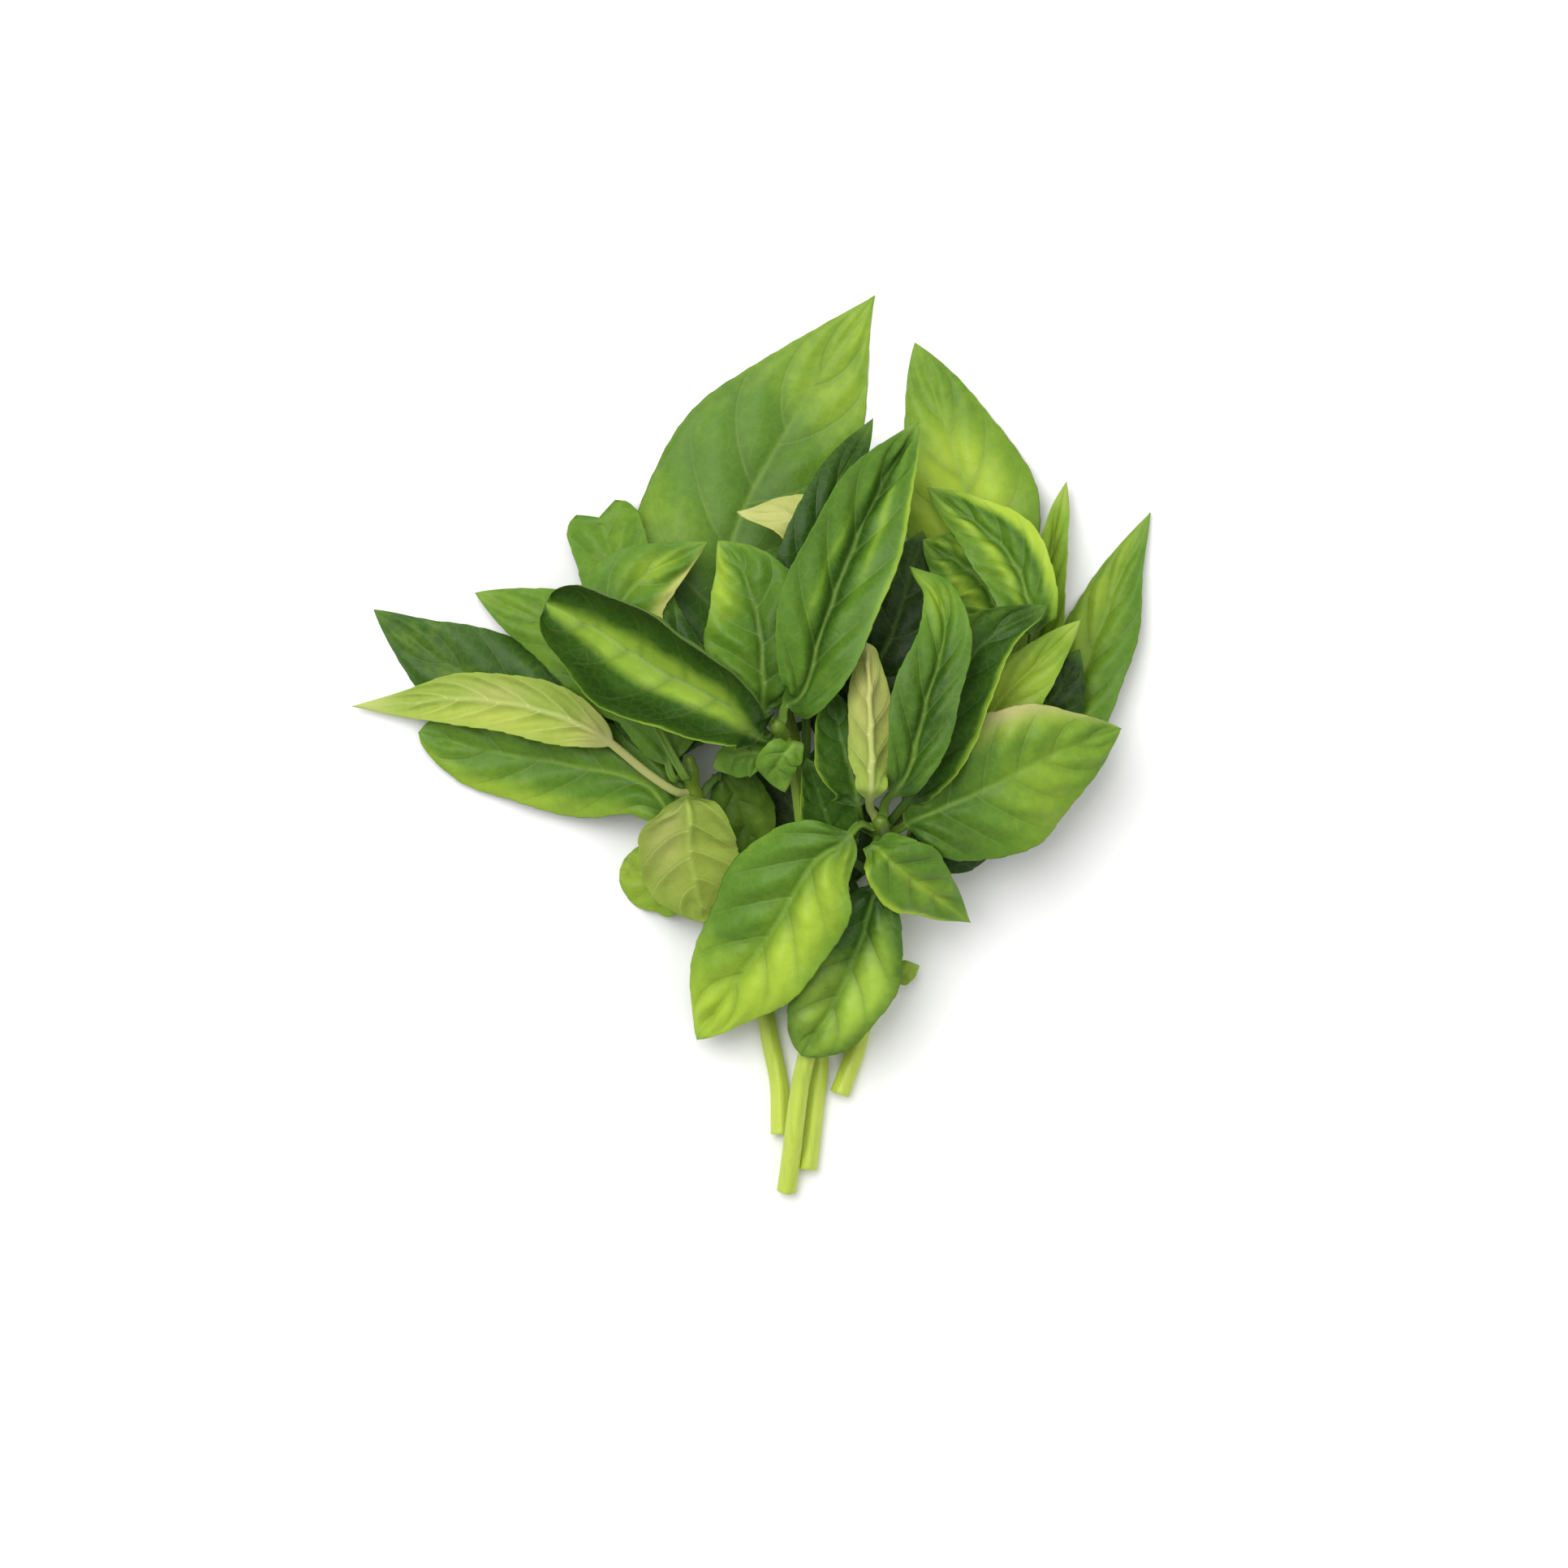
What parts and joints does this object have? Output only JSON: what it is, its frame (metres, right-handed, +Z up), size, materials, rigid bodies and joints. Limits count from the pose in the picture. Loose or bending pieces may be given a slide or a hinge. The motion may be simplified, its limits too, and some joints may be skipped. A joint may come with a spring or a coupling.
{
  "type": "basil bunch",
  "caption": "Cut bunch of fresh sweet basil lying on its side: slim bare stems meeting at the foot, broad pointed leaves heaped and fanned out above.",
  "frame": {"origin": "middle of the bunch's bounding box, on the surface that it lies on", "axes": "+Y from the cut stem ends to the leaf tips, +Z up from the surface, +X across the bunch"},
  "size_m": [0.1691, 0.1905, 0.0426],
  "materials": {
    "leaf_dark": "satin upper side of a shaded or older leaf",
    "leaf_mid": "satin upper side of a grown leaf",
    "leaf_light": "satin upper side of a young yellow-green leaf",
    "leaf_underside": "matt pale underside of a turned leaf",
    "stem": "smooth, slightly glossy green stem"
  },
  "bodies": {
    "root": {"back_stem": "stem", "west_stem": "stem", "east_stem": "stem", "middle_stem": "stem", "branch_stem": "stem", "under_south_leaf": "leaf_dark", "north_leaf": "leaf_mid", "northeast_leaf": "leaf_mid", "lobe_leaf": "leaf_light", "west_leaf": "leaf_dark", "southwest_leaf": "leaf_mid", "east_leaf": "leaf_mid", "slim_leaf": "leaf_light", "under_north_leaf": "leaf_dark", "under_west_leaf": "leaf_dark", "under_middle_leaf": "leaf_dark", "under_branch_leaf": "leaf_dark", "under_east_leaf": "leaf_dark", "shade_leaf": "leaf_dark", "northwest_leaf": "leaf_mid", "notched_leaf": "leaf_mid", "bumpy_leaf": "leaf_mid", "pale_tip_leaf": "leaf_underside", "grooved_leaf": "leaf_mid", "ridged_leaf": "leaf_mid", "olive_leaf": "leaf_light", "pale_west_leaf": "leaf_underside", "dark_blade_leaf": "leaf_dark", "lower_west_leaf": "leaf_dark", "inner_west_leaf": "leaf_dark", "inner_east_leaf": "leaf_light", "southeast_leaf": "leaf_mid", "rim_leaf": "leaf_dark", "tan_leaf": "leaf_underside", "striped_leaf": "leaf_mid", "tiny_leaf": "leaf_light", "low_leaf": "leaf_dark", "small_southeast_leaf": "leaf_mid", "front_leaf": "leaf_mid", "tab_leaf": "leaf_mid", "drop_leaf": "leaf_mid", "centre_leaf": "leaf_mid", "upright_leaf": "leaf_mid", "boat_leaf": "leaf_dark"}
  },
  "joints": []
}
